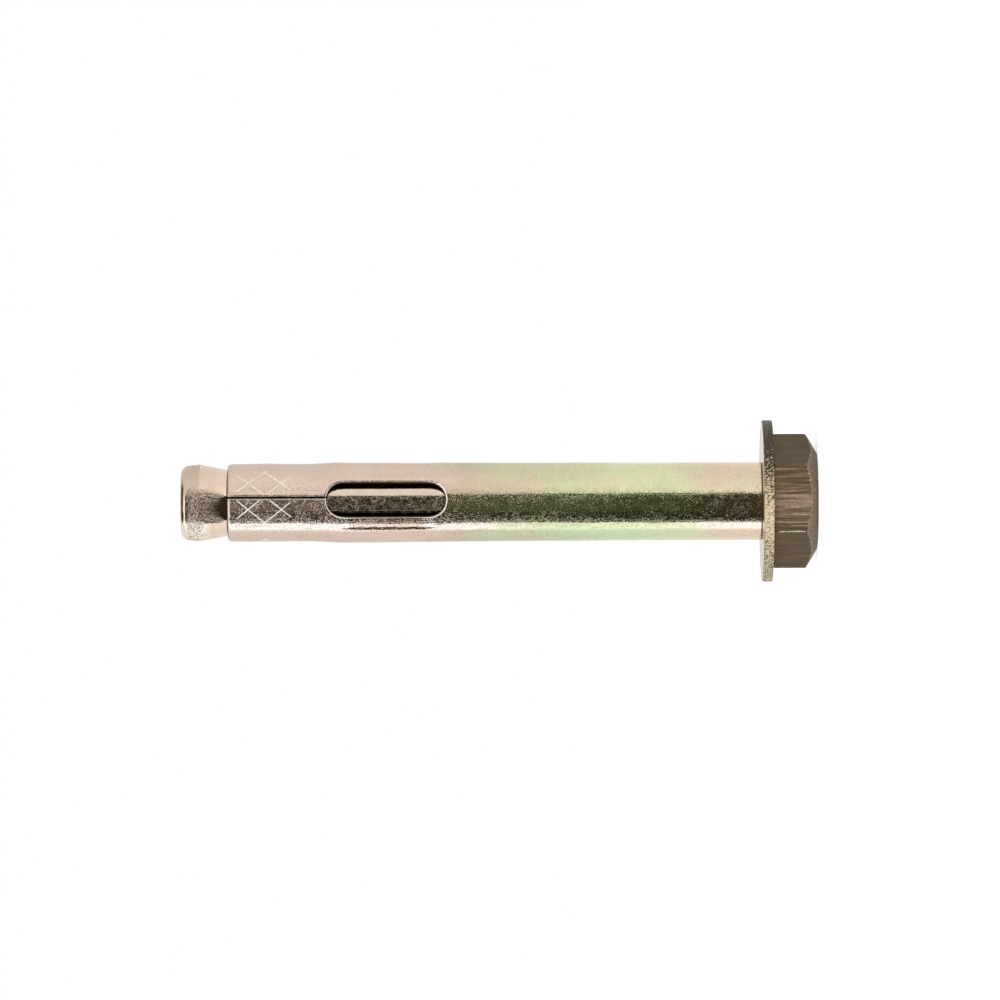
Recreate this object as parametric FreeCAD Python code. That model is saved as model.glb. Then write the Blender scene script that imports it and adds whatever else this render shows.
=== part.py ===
import FreeCAD, Part
import math
import os

# Sleeve anchor for a 12 mm hole: a stud with an upset cone, a rolled expansion sleeve, a washer
# and a hexagon nut. Its axis is +Z. It stands on the nut's outer face, which is the plane z = 0,
# and the cone points up.
# Lengths are in millimetres and angles in degrees. An angle round the axis is measured from -Y,
# the side that shows, towards +X.

# Thread and stud. The fairing, which runs from the shank into the cone, starts inside the sleeve.
THREAD_DIAMETER = 9.75
THREAD_LENGTH = 26.0
THREAD_END_CHAMFER = 0.9
THREAD_RUNOUT_ANGLE = 30.0
CREST_RISE = 0.425
FAIRING_DEPTH = 4.22
FAIRING_RADIUS = 26.0
CONE_HALF_ANGLE = 11.5
CONE_RISE = 1.17
LAND_LENGTH = 1.4
LAND_DROP = 0.14
CONE_END_ROUND = 1.25

# Hexagon nut
ACROSS_FLATS = 17.0
HEXAGON_HEIGHT = 6.4
HEXAGON_TURN = 3.0
CHAMFER_ANGLE = 30.0
END_FACE_DIAMETER = 13.9
BEARING_EDGE_BREAK = 0.2
BOSS_DIAMETER = 15.6
BOSS_HEIGHT = 0.15
THREAD_CLEARANCE = 0.05
NUT_COUNTERSINK = 0.5

# Washer
WASHER_DIAMETER = 23.6
WASHER_THICKNESS = 1.5
WASHER_HOLE_CLEARANCE = 0.4
WASHER_ROLLED_EDGE = 0.35
WASHER_SHEARED_EDGE = 0.12

# Expansion sleeve
SLEEVE_LENGTH = 77.75
SLEEVE_CLEARANCE = 0.075
SLEEVE_WALL = 0.75
SLEEVE_FOOT_BREAK = 0.15
MOUTH_ROUND = 0.55
MOUTH_BEVEL_LENGTH = 0.7
MOUTH_BEVEL_DEPTH = 0.08
SLIT_WIDTH = 0.3
SLIT_OFFSET = 0.33
SEAM_WIDTH = 0.22

# The sleeve's outline. Each place is a distance back from the mouth, and each swell is how far
# the outline stands out from the plain tube there, or in where it is negative.
MOUTH_SWELL = -0.06
BAND_PLACE = 5.0
BAND_SWELL = -0.01
WAIST_PLACE = 11.0
WAIST_SWELL = -0.07
BELT_PLACE = 18.1
BELT_SWELL = 0.2
PLAIN_PLACE = 43.0

# Windows, one of them in line with the seam
WINDOW_COUNT = 3
WINDOW_TURN = 4.2
WINDOW_HALF_ANGLE = 27.3
WINDOW_LENGTH = 17.4
WINDOW_PLACE = 14.4
WINDOW_END_DEPTH = 2.75
SEAM_WINDOW = 1

# A swell smaller than this is drawn as a straight line.
SMALLEST_RISE = 0.0005

AXIS = FreeCAD.Vector(0, 0, 1)
ORIGIN = FreeCAD.Vector(0, 0, 0)

THREAD_RADIUS = THREAD_DIAMETER / 2
SHANK_RADIUS = THREAD_RADIUS - CREST_RISE
CONE_RADIUS = SHANK_RADIUS + CONE_RISE
NUT_HEIGHT = HEXAGON_HEIGHT + BOSS_HEIGHT
SLEEVE_FOOT = NUT_HEIGHT + WASHER_THICKNESS
SLEEVE_MOUTH = SLEEVE_FOOT + SLEEVE_LENGTH
BORE_RADIUS = THREAD_RADIUS + SLEEVE_CLEARANCE
SLEEVE_RADIUS = BORE_RADIUS + SLEEVE_WALL


def at(radius, height):
    """A point of a half section, in the XZ plane."""
    return FreeCAD.Vector(radius, 0, height)


def line(start, end):
    return Part.LineSegment(start, end).toShape()


def arc(start, middle, end):
    return Part.Arc(start, middle, end).toShape()


def turned(edges):
    """The solid that a closed half section sweeps round the axis."""
    section = Part.Face(Part.Wire(Part.__sortEdges__(edges)))
    return section.revolve(ORIGIN, AXIS, 360)


def turned_polygon(points):
    return turned([line(a, b) for a, b in zip(points, points[1:] + points[:1])])


def around(radius, angle, height=0):
    """A point at that angle round the axis."""
    turn = math.radians(angle - 90)
    return FreeCAD.Vector(radius * math.cos(turn), radius * math.sin(turn), height)


def quarter_round(centre, radius, start_angle, end_angle):
    """An arc of a circle about a point of the half section, its angles measured from +X."""
    def rim(angle):
        turn = math.radians(angle)
        return centre + FreeCAD.Vector(radius * math.cos(turn), 0, radius * math.sin(turn))
    return arc(rim(start_angle), rim((start_angle + end_angle) / 2), rim(end_angle))


def wave(start, end):
    """An S-curve of two equal arcs that leaves both points straight along the axis."""
    rise = end.x - start.x
    run = end.z - start.z
    if abs(rise) < SMALLEST_RISE:
        return [line(start, end)]
    radius = (run * run + rise * rise) / 4 / rise
    turn = math.asin(run / 2 / radius) / 2
    first = at(start.x + radius * (1 - math.cos(turn)), start.z + radius * math.sin(turn))
    second = at(end.x - radius * (1 - math.cos(turn)), end.z - radius * math.sin(turn))
    middle = (start + end) / 2
    return [arc(start, first, middle), arc(middle, second, end)]


def anchor_stud():
    """Cone, fairing and land at the top, then the plain shank and the thread's own cylinder."""
    slope = math.radians(CONE_HALF_ANGLE)
    shank_top = SLEEVE_MOUTH - FAIRING_DEPTH
    fairing_centre = at(SHANK_RADIUS + FAIRING_RADIUS, shank_top)
    neck_radius = SHANK_RADIUS + FAIRING_RADIUS * (1 - math.cos(slope))
    neck = shank_top + FAIRING_RADIUS * math.sin(slope)
    cone_top = neck + (CONE_RADIUS - neck_radius) / math.tan(slope)
    land_top = cone_top + LAND_LENGTH
    land_radius = CONE_RADIUS - LAND_DROP
    flat_radius = land_radius - CONE_END_ROUND
    stud_length = land_top + CONE_END_ROUND
    runout = CREST_RISE / math.tan(math.radians(THREAD_RUNOUT_ANGLE))

    lower = [
        at(0, 0),
        at(THREAD_RADIUS - THREAD_END_CHAMFER, 0),
        at(THREAD_RADIUS, THREAD_END_CHAMFER),
        at(THREAD_RADIUS, THREAD_LENGTH),
        at(SHANK_RADIUS, THREAD_LENGTH + runout),
        at(SHANK_RADIUS, shank_top),
    ]
    edges = [line(a, b) for a, b in zip(lower, lower[1:])]
    edges.append(quarter_round(fairing_centre, FAIRING_RADIUS, 180, 180 - CONE_HALF_ANGLE))
    edges.append(line(at(neck_radius, neck), at(CONE_RADIUS, cone_top)))
    edges.append(line(at(CONE_RADIUS, cone_top), at(land_radius, land_top)))
    edges.append(quarter_round(at(flat_radius, land_top), CONE_END_ROUND, 0, 90))
    edges.append(line(at(flat_radius, stud_length), at(0, stud_length)))
    edges.append(line(at(0, stud_length), at(0, 0)))
    return turned(edges)


def hexagon_prism(across_flats, height, turn):
    """A hexagonal prism on z = 0, with the middle of one flat at the given angle."""
    corner_radius = across_flats / 2 / math.cos(math.radians(30))
    corners = [around(corner_radius, turn + 30 + 60 * number) for number in range(7)]
    return Part.Face(Part.makePolygon(corners)).extrude(AXIS * height)


def corner_cutter(radius, height, rise):
    """A ring with a sloping inner wall, which takes the corners off a hexagon above that radius."""
    reach = ACROSS_FLATS
    far_height = height + rise * (reach - radius)
    return turned_polygon([at(radius, height), at(reach, height), at(reach, far_height)])


def hex_nut():
    """The chamfered hexagon, with a raised bearing face and a countersunk bore."""
    slope = math.tan(math.radians(CHAMFER_ANGLE))
    corner_radius = ACROSS_FLATS / 2 / math.cos(math.radians(30))
    bore_radius = THREAD_RADIUS + THREAD_CLEARANCE
    sink_radius = bore_radius + NUT_COUNTERSINK
    nut = hexagon_prism(ACROSS_FLATS, HEXAGON_HEIGHT, HEXAGON_TURN)
    nut = nut.cut(corner_cutter(END_FACE_DIAMETER / 2, 0, slope))
    nut = nut.cut(corner_cutter(corner_radius - BEARING_EDGE_BREAK / slope, HEXAGON_HEIGHT, -slope))
    boss = Part.makeCylinder(BOSS_DIAMETER / 2, BOSS_HEIGHT, AXIS * HEXAGON_HEIGHT)
    nut = nut.fuse(boss)
    bore = turned_polygon([
        at(0, 0),
        at(sink_radius, 0),
        at(bore_radius, NUT_COUNTERSINK),
        at(bore_radius, NUT_HEIGHT - NUT_COUNTERSINK),
        at(sink_radius, NUT_HEIGHT),
        at(0, NUT_HEIGHT),
    ])
    return nut.cut(bore)


def washer():
    """A stamped ring: rounded by the die towards the sleeve, and nearly sharp towards the nut."""
    rim = WASHER_DIAMETER / 2
    hole = THREAD_RADIUS + WASHER_HOLE_CLEARANCE
    low = NUT_HEIGHT
    top = SLEEVE_FOOT
    sheared = WASHER_SHEARED_EDGE
    rolled = WASHER_ROLLED_EDGE
    half_way = rolled * (1 - math.cos(math.radians(45)))
    return turned_polygon([
        at(hole, low),
        at(rim - sheared, low),
        at(rim, low + sheared),
        at(rim, top - rolled),
        at(rim - half_way, top - half_way),
        at(rim - rolled, top),
        at(hole, top),
    ])


def sleeve_outline():
    """Points down the sleeve's outer face, from where the plain tube ends to the mouth."""
    stations = [
        (0, MOUTH_SWELL),
        (BAND_PLACE, BAND_SWELL),
        (WAIST_PLACE, WAIST_SWELL),
        (BELT_PLACE, BELT_SWELL),
        (PLAIN_PLACE, 0),
    ]
    return [at(SLEEVE_RADIUS + swell, SLEEVE_MOUTH - place) for place, swell in reversed(stations)]


def sleeve_tube():
    """The tube before its windows and slits, with a rounded mouth that is bevelled inside."""
    foot = SLEEVE_FOOT
    edge = SLEEVE_FOOT_BREAK
    outer = sleeve_outline()
    mouth_radius = outer[-1].x
    outer[-1].z -= MOUTH_ROUND
    inner = [at(point.x - SLEEVE_WALL, point.z) for point in outer]
    inner[-1].z = SLEEVE_MOUTH - MOUTH_BEVEL_LENGTH
    lip = at(mouth_radius - SLEEVE_WALL + MOUTH_BEVEL_DEPTH, SLEEVE_MOUTH)
    bore = inner[::-1] + [at(BORE_RADIUS, foot), at(SLEEVE_RADIUS - edge, foot)]
    edges = [line(a, b) for a, b in zip([lip] + bore, bore)]
    edges.append(line(at(SLEEVE_RADIUS - edge, foot), at(SLEEVE_RADIUS, foot + edge)))
    edges.append(line(at(SLEEVE_RADIUS, foot + edge), outer[0]))
    for start, end in zip(outer, outer[1:]):
        edges.extend(wave(start, end))
    edges.append(quarter_round(at(mouth_radius - MOUTH_ROUND, outer[-1].z), MOUTH_ROUND, 0, 90))
    edges.append(line(at(mouth_radius - MOUTH_ROUND, SLEEVE_MOUTH), lip))
    return turned(edges)


def window_outline(distance):
    """A round-ended slot facing -Y at that distance from the axis, as wide as its angle spans there."""
    side = distance * math.tan(math.radians(WINDOW_HALF_ANGLE))
    straight = WINDOW_LENGTH / 2 - WINDOW_END_DEPTH
    middle = SLEEVE_MOUTH - WINDOW_PLACE - WINDOW_LENGTH / 2

    def spot(across, along):
        return FreeCAD.Vector(across, -distance, middle + along)

    return Part.Wire([
        arc(spot(-side, -straight), spot(0, -WINDOW_LENGTH / 2), spot(side, -straight)),
        line(spot(side, -straight), spot(side, straight)),
        arc(spot(side, straight), spot(0, WINDOW_LENGTH / 2), spot(-side, straight)),
        line(spot(-side, straight), spot(-side, -straight)),
    ])


def slot(width, low, high, offset=0):
    """A thin plate on the -Y side that cuts through the wall between two heights."""
    start = FreeCAD.Vector(offset - width / 2, -2 * SLEEVE_RADIUS, low)
    return Part.makeBox(width, 2 * SLEEVE_RADIUS, high - low, start)


def expansion_sleeve():
    """The rolled tube with a seam all the way down, and a slit from each window to the mouth that
    lies a little to one side of the window's middle."""
    sleeve = sleeve_tube()
    near = SLEEVE_RADIUS - 2 * SLEEVE_WALL
    far = SLEEVE_RADIUS + SLEEVE_WALL
    window = Part.makeLoft([window_outline(near), window_outline(far)], True, True)
    window_middle = SLEEVE_MOUTH - WINDOW_PLACE - WINDOW_LENGTH / 2
    for number in range(WINDOW_COUNT):
        slit = slot(SLIT_WIDTH, window_middle, SLEEVE_MOUTH, SLIT_OFFSET)
        cutter = window.fuse(slit)
        if number == SEAM_WINDOW:
            cutter = cutter.fuse(slot(SEAM_WIDTH, SLEEVE_FOOT, window_middle))
        cutter.rotate(ORIGIN, AXIS, WINDOW_TURN + number * 360 / WINDOW_COUNT)
        sleeve = sleeve.cut(cutter)
    return sleeve


def main():
    os.makedirs("parts", exist_ok=True)
    pieces = {
        "anchor_stud": anchor_stud(),
        "expansion_sleeve": expansion_sleeve(),
        "washer": washer(),
        "hex_nut": hex_nut(),
    }
    for name, shape in pieces.items():
        solid = shape.Solids[0]
        solid.exportStep(f"parts/{name}.step")
        print(name, len(shape.Solids), "solid", round(solid.Volume, 1), "cubic mm", solid.isValid())


main()
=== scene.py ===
"""A sleeve anchor of yellow zinc-plated steel: stud with its cone, rolled sleeve, washer and nut.

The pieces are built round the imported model. Lengths in the formulas are millimetres, and an angle
round the axis is measured from -Y, the side that the camera sees, towards +X.
"""
import itertools
import math

import bmesh
import bpy
import numpy as np
from bpy.props import FloatProperty, FloatVectorProperty, IntProperty, PointerProperty
from mathutils import Matrix, Vector


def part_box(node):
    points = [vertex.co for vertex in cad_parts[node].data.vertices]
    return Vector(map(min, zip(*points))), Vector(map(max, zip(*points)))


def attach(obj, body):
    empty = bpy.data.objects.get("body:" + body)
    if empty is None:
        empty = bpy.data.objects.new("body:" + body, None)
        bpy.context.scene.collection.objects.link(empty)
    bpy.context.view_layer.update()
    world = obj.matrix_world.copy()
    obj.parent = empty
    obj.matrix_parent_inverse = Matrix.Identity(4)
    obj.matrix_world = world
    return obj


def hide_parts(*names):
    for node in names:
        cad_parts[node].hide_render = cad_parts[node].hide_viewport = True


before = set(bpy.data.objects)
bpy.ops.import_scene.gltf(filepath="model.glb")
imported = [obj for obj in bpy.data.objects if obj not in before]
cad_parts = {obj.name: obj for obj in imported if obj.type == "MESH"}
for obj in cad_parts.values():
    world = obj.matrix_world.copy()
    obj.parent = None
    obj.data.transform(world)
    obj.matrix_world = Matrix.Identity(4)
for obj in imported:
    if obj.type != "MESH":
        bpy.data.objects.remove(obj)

bl_info = {
    "name": "Sleeve Anchor",
    "version": (1, 0, 0),
    "blender": (4, 5, 0),
    "location": "View3D > Sidebar > Sleeve Anchor",
    "description": "Builds a rolled-sleeve anchor with its stud, washer and nut",
    "category": "Add Mesh",
}

MM = 0.001
WELD = 2e-7
THIRD = 2 * math.pi / 3
MOUTH_ROUND = 0.55
MOUTH_BEVEL = 0.08
BROKEN_EDGE = 0.15
SEAM_EDGE = 0.07
FLARE = 0.95
RIB_DEPTH = -0.2
CARD_LIFT = 0.05
CHAMFER_ANGLE = math.radians(30)

NUT_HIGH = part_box("hex_nut")[1]
WASHER_LOW, WASHER_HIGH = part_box("washer")
SLEEVE_LOW, SLEEVE_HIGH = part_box("expansion_sleeve")
STUD_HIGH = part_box("anchor_stud")[1]
FOOT, MOUTH = SLEEVE_LOW.z / MM, SLEEVE_HIGH.z / MM


def linear(code):
    """An sRGB hex colour such as "#dcc4b4" as the three linear numbers that Blender works with."""
    parts = [int(code[place:place + 2], 16) / 255 for place in (1, 3, 5)]
    return [part / 12.92 if part <= 0.04045 else ((part + 0.055) / 1.055) ** 2.4 for part in parts]


def length(name, default, description):
    """A property that holds a length in metres."""
    return FloatProperty(
        name=name, default=default, min=0, unit="LENGTH", precision=5, description=description
    )


def colour(name, code, description):
    """A property that holds a colour."""
    return FloatVectorProperty(
        name=name, default=linear(code), size=3, min=0, max=1, subtype="COLOR",
        description=description,
    )


class SleeveSettings(bpy.types.PropertyGroup):
    """Sizes of the rolled sleeve and the tints of its finish."""

    radius: length("Radius", 0.0057, "Outer radius of the plain tube")
    wall: length("Wall", 0.00075, "Thickness of the rolled strip")
    slit: length("Slit", 0.0003, "Width of the slit from each window to the mouth")
    slit_offset: length("Slit offset", 0.00033, "From a window's middle to its slit's middle")
    seam: length("Seam", 0.00022, "Width of the open seam where the strip's edges meet")
    window_length: length("Window length", 0.0174, "Length of each round-ended window")
    window_place: length("Window place", 0.0144, "Distance from the mouth to each window")
    window_end: length("Window end", 0.00275, "How far a window's rounded end reaches")
    window_angle: FloatProperty(
        name="Window half angle", default=math.radians(27.3), subtype="ANGLE",
        description="Half of the angle that a window takes round the tube",
    )
    window_turn: FloatProperty(
        name="Window turn", default=math.radians(4.2), subtype="ANGLE",
        description="Where the first window lies, measured from the side that shows",
    )
    end_edge: length("End edge", 0.00032, "Rounding of the outer edge at a window's ends")
    side_edge: length("Side edge", 0.0002, "Rounding of the outer edge along a window's sides")
    crease: length("Crease", 0.00015, "How deep the skin is pressed in beside the windows")
    upper_lip: length("Upper lip", 0.00018, "Rounding of each slit's upper edge")
    lower_lip: length("Lower lip", 0.00013, "Rounding of each slit's lower edge")
    lozenges: IntProperty(
        name="Lozenges", default=9, min=3,
        description="How many lozenges as wide as the raised ones would fill the ring",
    )
    rose: colour("Rose tint", "#e6ccbe", "Pink tint of the zinc layer near the mouth")
    straw: colour("Straw tint", "#d3c0a9", "Yellow tint of the zinc layer")
    green: colour("Green tint", "#d5d7ab", "Green tint of the zinc layer in the middle")


class StudSettings(bpy.types.PropertyGroup):
    """Sizes of the threaded stud and the colours of its finish."""

    thread_radius: length("Thread radius", 0.004875, "Radius over the thread's crests")
    pitch: length("Pitch", 0.0015, "Distance from one turn of the thread to the next")
    thread_depth: length("Thread depth", 0.00092, "Depth of the thread, crest to root")
    thread_length: length("Thread length", 0.026, "Length of the threaded end")
    shank_radius: length("Shank radius", 0.00445, "Radius of the plain shank")
    cone_radius: length("Cone radius", 0.00562, "Largest radius of the cone")
    pale: colour("Bright steel", "#e4d1bd", "Plated steel where it is clean")
    dark: colour("Dark scale", "#4a3827", "Scale that the forming left in the surface")


class WasherSettings(bpy.types.PropertyGroup):
    """Sizes of the stamped washer and the colours of its finish."""

    hole: length("Hole radius", 0.005275, "Radius of the hole")
    rolled_edge: length("Rolled edge", 0.00035, "Rounding on the side of the die")
    sheared_edge: length("Sheared edge", 0.00012, "Rounding on the other side")
    face: colour("Face", "#efe2cf", "Plated face")
    torn: colour("Torn rim", "#f0dcb6", "Rim where the steel tore as it was stamped")


class NutSettings(bpy.types.PropertyGroup):
    """Sizes of the hexagon nut and the colours of its finish."""

    across_flats: length("Across flats", 0.017, "Distance between two opposite flats")
    hexagon_height: length("Hexagon height", 0.0064, "Height without the bearing face")
    turn: FloatProperty(
        name="Turn", default=math.radians(3), subtype="ANGLE",
        description="Where the middle of one flat lies, measured from the side that shows",
    )
    end_face: length("End face", 0.0139, "Diameter of the flat end inside the chamfer")
    boss: length("Bearing face", 0.0156, "Diameter of the raised bearing face")
    corner: length("Corner rounding", 0.00022, "Rounding of the six corners")
    bronze: colour("Bronze", "#836e5b", "Dull brown of the trimmed flats")
    shadow: colour("Dark bronze", "#544630", "Darker brown in the marks of the trimming")
    bright: colour("Drawn lines", "#b9a291", "Brighter lines that the trimming drew")
    burr: colour("Bare edge", "#efe6d8", "Bright metal where the edges are rubbed")


class StageSettings(bpy.types.PropertyGroup):
    """Sizes and levels of the light, the floor and the camera."""

    frame_width: length("Frame width", 0.14577, "Width of the picture at the anchor")
    distance: length("Camera distance", 1.1, "From the camera to the anchor's axis")
    roll: FloatProperty(
        name="Roll", default=math.radians(0.2), subtype="ANGLE",
        description="How far the anchor's axis is turned in the picture",
    )
    floor: colour("Floor", "#f0f0ee", "Pale floor")
    flag: colour("Dark flag", "#c8ffb0", "Hue of the dark cards that the metal reflects")


class AnchorSettings(bpy.types.PropertyGroup):
    """All the settings of the anchor."""

    sleeve: PointerProperty(type=SleeveSettings, name="Sleeve", description="The rolled sleeve")
    stud: PointerProperty(type=StudSettings, name="Stud", description="The threaded stud")
    washer: PointerProperty(type=WasherSettings, name="Washer", description="The washer")
    nut: PointerProperty(type=NutSettings, name="Nut", description="The hexagon nut")
    stage: PointerProperty(type=StageSettings, name="Stage", description="Floor, light, camera")


def settings():
    """The anchor's settings in the present scene."""
    return bpy.context.scene.sleeve_anchor


def polar(radius, angle, height):
    """Points at a radius and an angle round the axis: (r sin a, -r cos a, z)."""
    across, back, up = np.broadcast_arrays(radius * np.sin(angle), -radius * np.cos(angle), height)
    return np.stack([across, back, up], axis=-1)


def cells(rows, columns, ring=False, loop=False):
    """The four corners of each cell of a grid. A ring joins the last column to the first one, and
    a loop the last row. With columns turning to +X and rows rising, the faces look outwards."""
    number = np.arange(rows * columns).reshape(rows, columns)
    if ring:
        number = np.hstack([number, number[:, :1]])
    if loop:
        number = np.vstack([number, number[:1]])
    corners = [number[:-1, :-1], number[:-1, 1:], number[1:, 1:], number[1:, :-1]]
    return np.stack(corners, axis=-1).reshape(-1, 4)


def rounded(corners, setbacks, steps=4):
    """A half section with its corners rounded. Each corner P between neighbours becomes the curve
    (1-t)^2 A + 2t(1-t) P + t^2 C, where A and C lie on its two sides, one setback away. Corners
    are an array of places x columns x (radius, height), so each column has its own section."""
    rows = []
    share = np.linspace(0, 1, steps + 1)[:, None, None]
    last = len(corners) - 1
    for place, setback in enumerate(setbacks):
        here = corners[place]
        if not setback or place in (0, last):
            rows.append(here[None])
            continue
        before = corners[place - 1] - here
        after = corners[place + 1] - here
        reach = np.minimum(setback, 0.45 * np.linalg.norm(before, axis=-1, keepdims=True))
        start = here + before / np.linalg.norm(before, axis=-1, keepdims=True) * reach
        reach = np.minimum(setback, 0.45 * np.linalg.norm(after, axis=-1, keepdims=True))
        end = here + after / np.linalg.norm(after, axis=-1, keepdims=True) * reach
        rows.append((1 - share) ** 2 * start + 2 * share * (1 - share) * here + share**2 * end)
    return np.concatenate(rows)


def filled(section, places, rows):
    """The stretch of a half section after one of its places, divided into that many more rows."""
    share = np.linspace(0, 1, rows + 2)[:, None, None]
    stretch = section[places] * (1 - share) + section[places + 1] * share
    return np.concatenate([section[:places], stretch, section[places + 2:]])


def soft_noise(rows, columns, reach, seed, rows_reach=None):
    """Random heights from -1 to 1, closed round the columns, each averaged with its neighbours
    as far as the reach says, and stretched again to the full range."""
    heights = np.random.default_rng(seed).normal(size=(rows, columns))
    for _ in range(reach):
        heights = (np.roll(heights, 1, 1) + 2 * heights + np.roll(heights, -1, 1)) / 4
    for _ in range(reach if rows_reach is None else rows_reach):
        padded = np.pad(heights, ((1, 1), (0, 0)), mode="edge")
        heights = (padded[:-2] + 2 * padded[1:-1] + padded[2:]) / 4
    return np.clip(heights / (2.5 * heights.std()), -1, 1)


def ease(share):
    """A rise from 0 to 1 that starts and ends level: (1 - cos(pi s)) / 2."""
    return (1 - np.cos(np.pi * np.clip(share, 0, 1))) / 2


def thread_share(height, angle, pitch):
    """How deep a point lies in a right-handed thread: 0 on a crest, which is an eighth of a pitch
    wide, 1 in a root, which is a quarter, and straight flanks between them."""
    phase = height / pitch - angle / (2 * np.pi)
    from_crest = 2 * np.abs((phase + 0.5) % 1 - 0.5)
    return np.clip((from_crest - 1 / 8) / (1 - 1 / 8 - 1 / 4), 0, 1)


def new_piece(name, grids, sharp=35):
    """One welded mesh, in metres, from pairs of points in millimetres and faces. Edges that bend
    more than the sharp angle stay crisp."""
    start = 0
    points = []
    faces = []
    for grid, corners in grids:
        points.append(np.asarray(grid, float).reshape(-1, 3) * MM)
        faces.extend((np.asarray(corners) + start).tolist())
        start += len(points[-1])
    mesh = bpy.data.meshes.new(name)
    mesh.from_pydata(np.concatenate(points).tolist(), [], faces)
    work = bmesh.new()
    work.from_mesh(mesh)
    bmesh.ops.remove_doubles(work, verts=work.verts, dist=WELD)
    bmesh.ops.dissolve_degenerate(work, edges=work.edges, dist=WELD)
    work.to_mesh(mesh)
    work.free()
    mesh.validate()
    mesh.shade_smooth()
    mesh.set_sharp_from_angle(angle=math.radians(sharp))
    piece = bpy.data.objects.new(name, mesh)
    bpy.context.scene.collection.objects.link(piece)
    return piece


def dress(piece, body, finish):
    """Puts a piece on its body and gives it its finish."""
    piece.data.materials.append(finish)
    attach(piece, body)


def add(tree, kind, inputs=(), **options):
    """Adds a shader node, sets its options, and sets or links its inputs, by name or in order. A
    node given as an input stands for its first open output, and a colour gets its alpha. A tuple
    (value, low, high, start, end) stands for that value, carried from one range to the other."""
    node = tree.nodes.new("ShaderNode" + kind)
    for option, value in options.items():
        setattr(node, option, value)
    for place, value in inputs.items() if isinstance(inputs, dict) else enumerate(inputs):
        socket = node.inputs[place]
        if isinstance(value, tuple) and isinstance(value[0], bpy.types.bpy_struct):
            value = add(tree, "MapRange", value)
        if isinstance(value, bpy.types.Node):
            value = next(output for output in value.outputs if output.enabled)
        if isinstance(value, bpy.types.NodeSocket):
            tree.links.new(value, socket)
        elif socket.type == "RGBA":
            socket.default_value = [*value[:3], 1]
        else:
            socket.default_value = value
    return node


def new_finish(name):
    """An empty node material, and its tree."""
    finish = bpy.data.materials.new(name)
    finish.use_nodes = True
    finish.node_tree.nodes.clear()
    return finish, finish.node_tree


def millimetres(tree, stretch=1):
    """Object coordinates in millimetres, drawn out along the axis as far as the stretch says."""
    place = add(tree, "TexCoord").outputs["Object"]
    return add(tree, "Mapping", {"Vector": place, "Scale": (1 / MM, 1 / MM, 1 / MM / stretch)})


def patterns(tree, rows):
    """Patterns by name, each with its place on the anchor and its noise. A row gives how far its
    pattern is drawn out along the axis, its grain in millimetres, its detail and roughness."""
    places = {stretch: millimetres(tree, stretch) for stretch in {row[0] for row in rows.values()}}
    made = {}
    for name, (stretch, grain, detail, roughness) in rows.items():
        made[name] = add(tree, "TexNoise", {
            "Vector": places[stretch], "Scale": 1 / grain, "Detail": detail,
            "Roughness": roughness,
        })
    return made


def chain(tree, value, *steps):
    """A value led through several nodes in turn. Each step gives the kind of its node, or a Math
    operation in capitals, and what the node takes in after the value."""
    for kind, *others in steps:
        options = {"operation": kind} if kind.isupper() else {}
        value = add(tree, "Math" if options else kind, [value, *others], **options)
    return value


def between(tree, value, rise, fall):
    """1 between two places and 0 outside them, with a soft rise before and a soft fall after."""
    return chain(tree, (value, *rise), ("MULTIPLY", (value, *fall, 1, 0)))


def hairlines(tree, grain, width):
    """1 on thin wandering lines, where noise of that grain crosses its middle, and 0 elsewhere."""
    wave = patterns(tree, {"wave": (1, grain, 2, 0.55)})["wave"]
    return chain(tree, wave, ("SUBTRACT", 0.5), ("ABSOLUTE",), ("MapRange", 0, width, 1, 0))


def from_axis(tree, parts):
    """How many millimetres a place lies from the axis: sqrt(x^2 + y^2)."""
    across, back = (chain(tree, parts.outputs[number], ("POWER", 2)) for number in (0, 1))
    return chain(tree, across, ("ADD", back), ("SQRT",))


def lay_finish(tree, tint, layers, bumps, metal, rough, **more):
    """Ends a finish with its shader. Each layer lays a colour over the tint as far as its mask
    lets it show, and each bump adds its height in millimetres to the ones before."""
    for mask, shade in layers:
        tint = add(tree, "Mix", {0: mask, 6: tint, 7: shade}, data_type="RGBA")
    normal = {}
    for height, rise in bumps:
        normal = {
            "Normal": add(tree, "Bump", {"Height": height, "Distance": rise * MM, **normal})
        }
    shader = add(tree, "BsdfPrincipled", {
        "Base Color": tint, "Metallic": metal, "Roughness": rough, **normal, **more,
    })
    add(tree, "OutputMaterial", {"Surface": shader})


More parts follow.
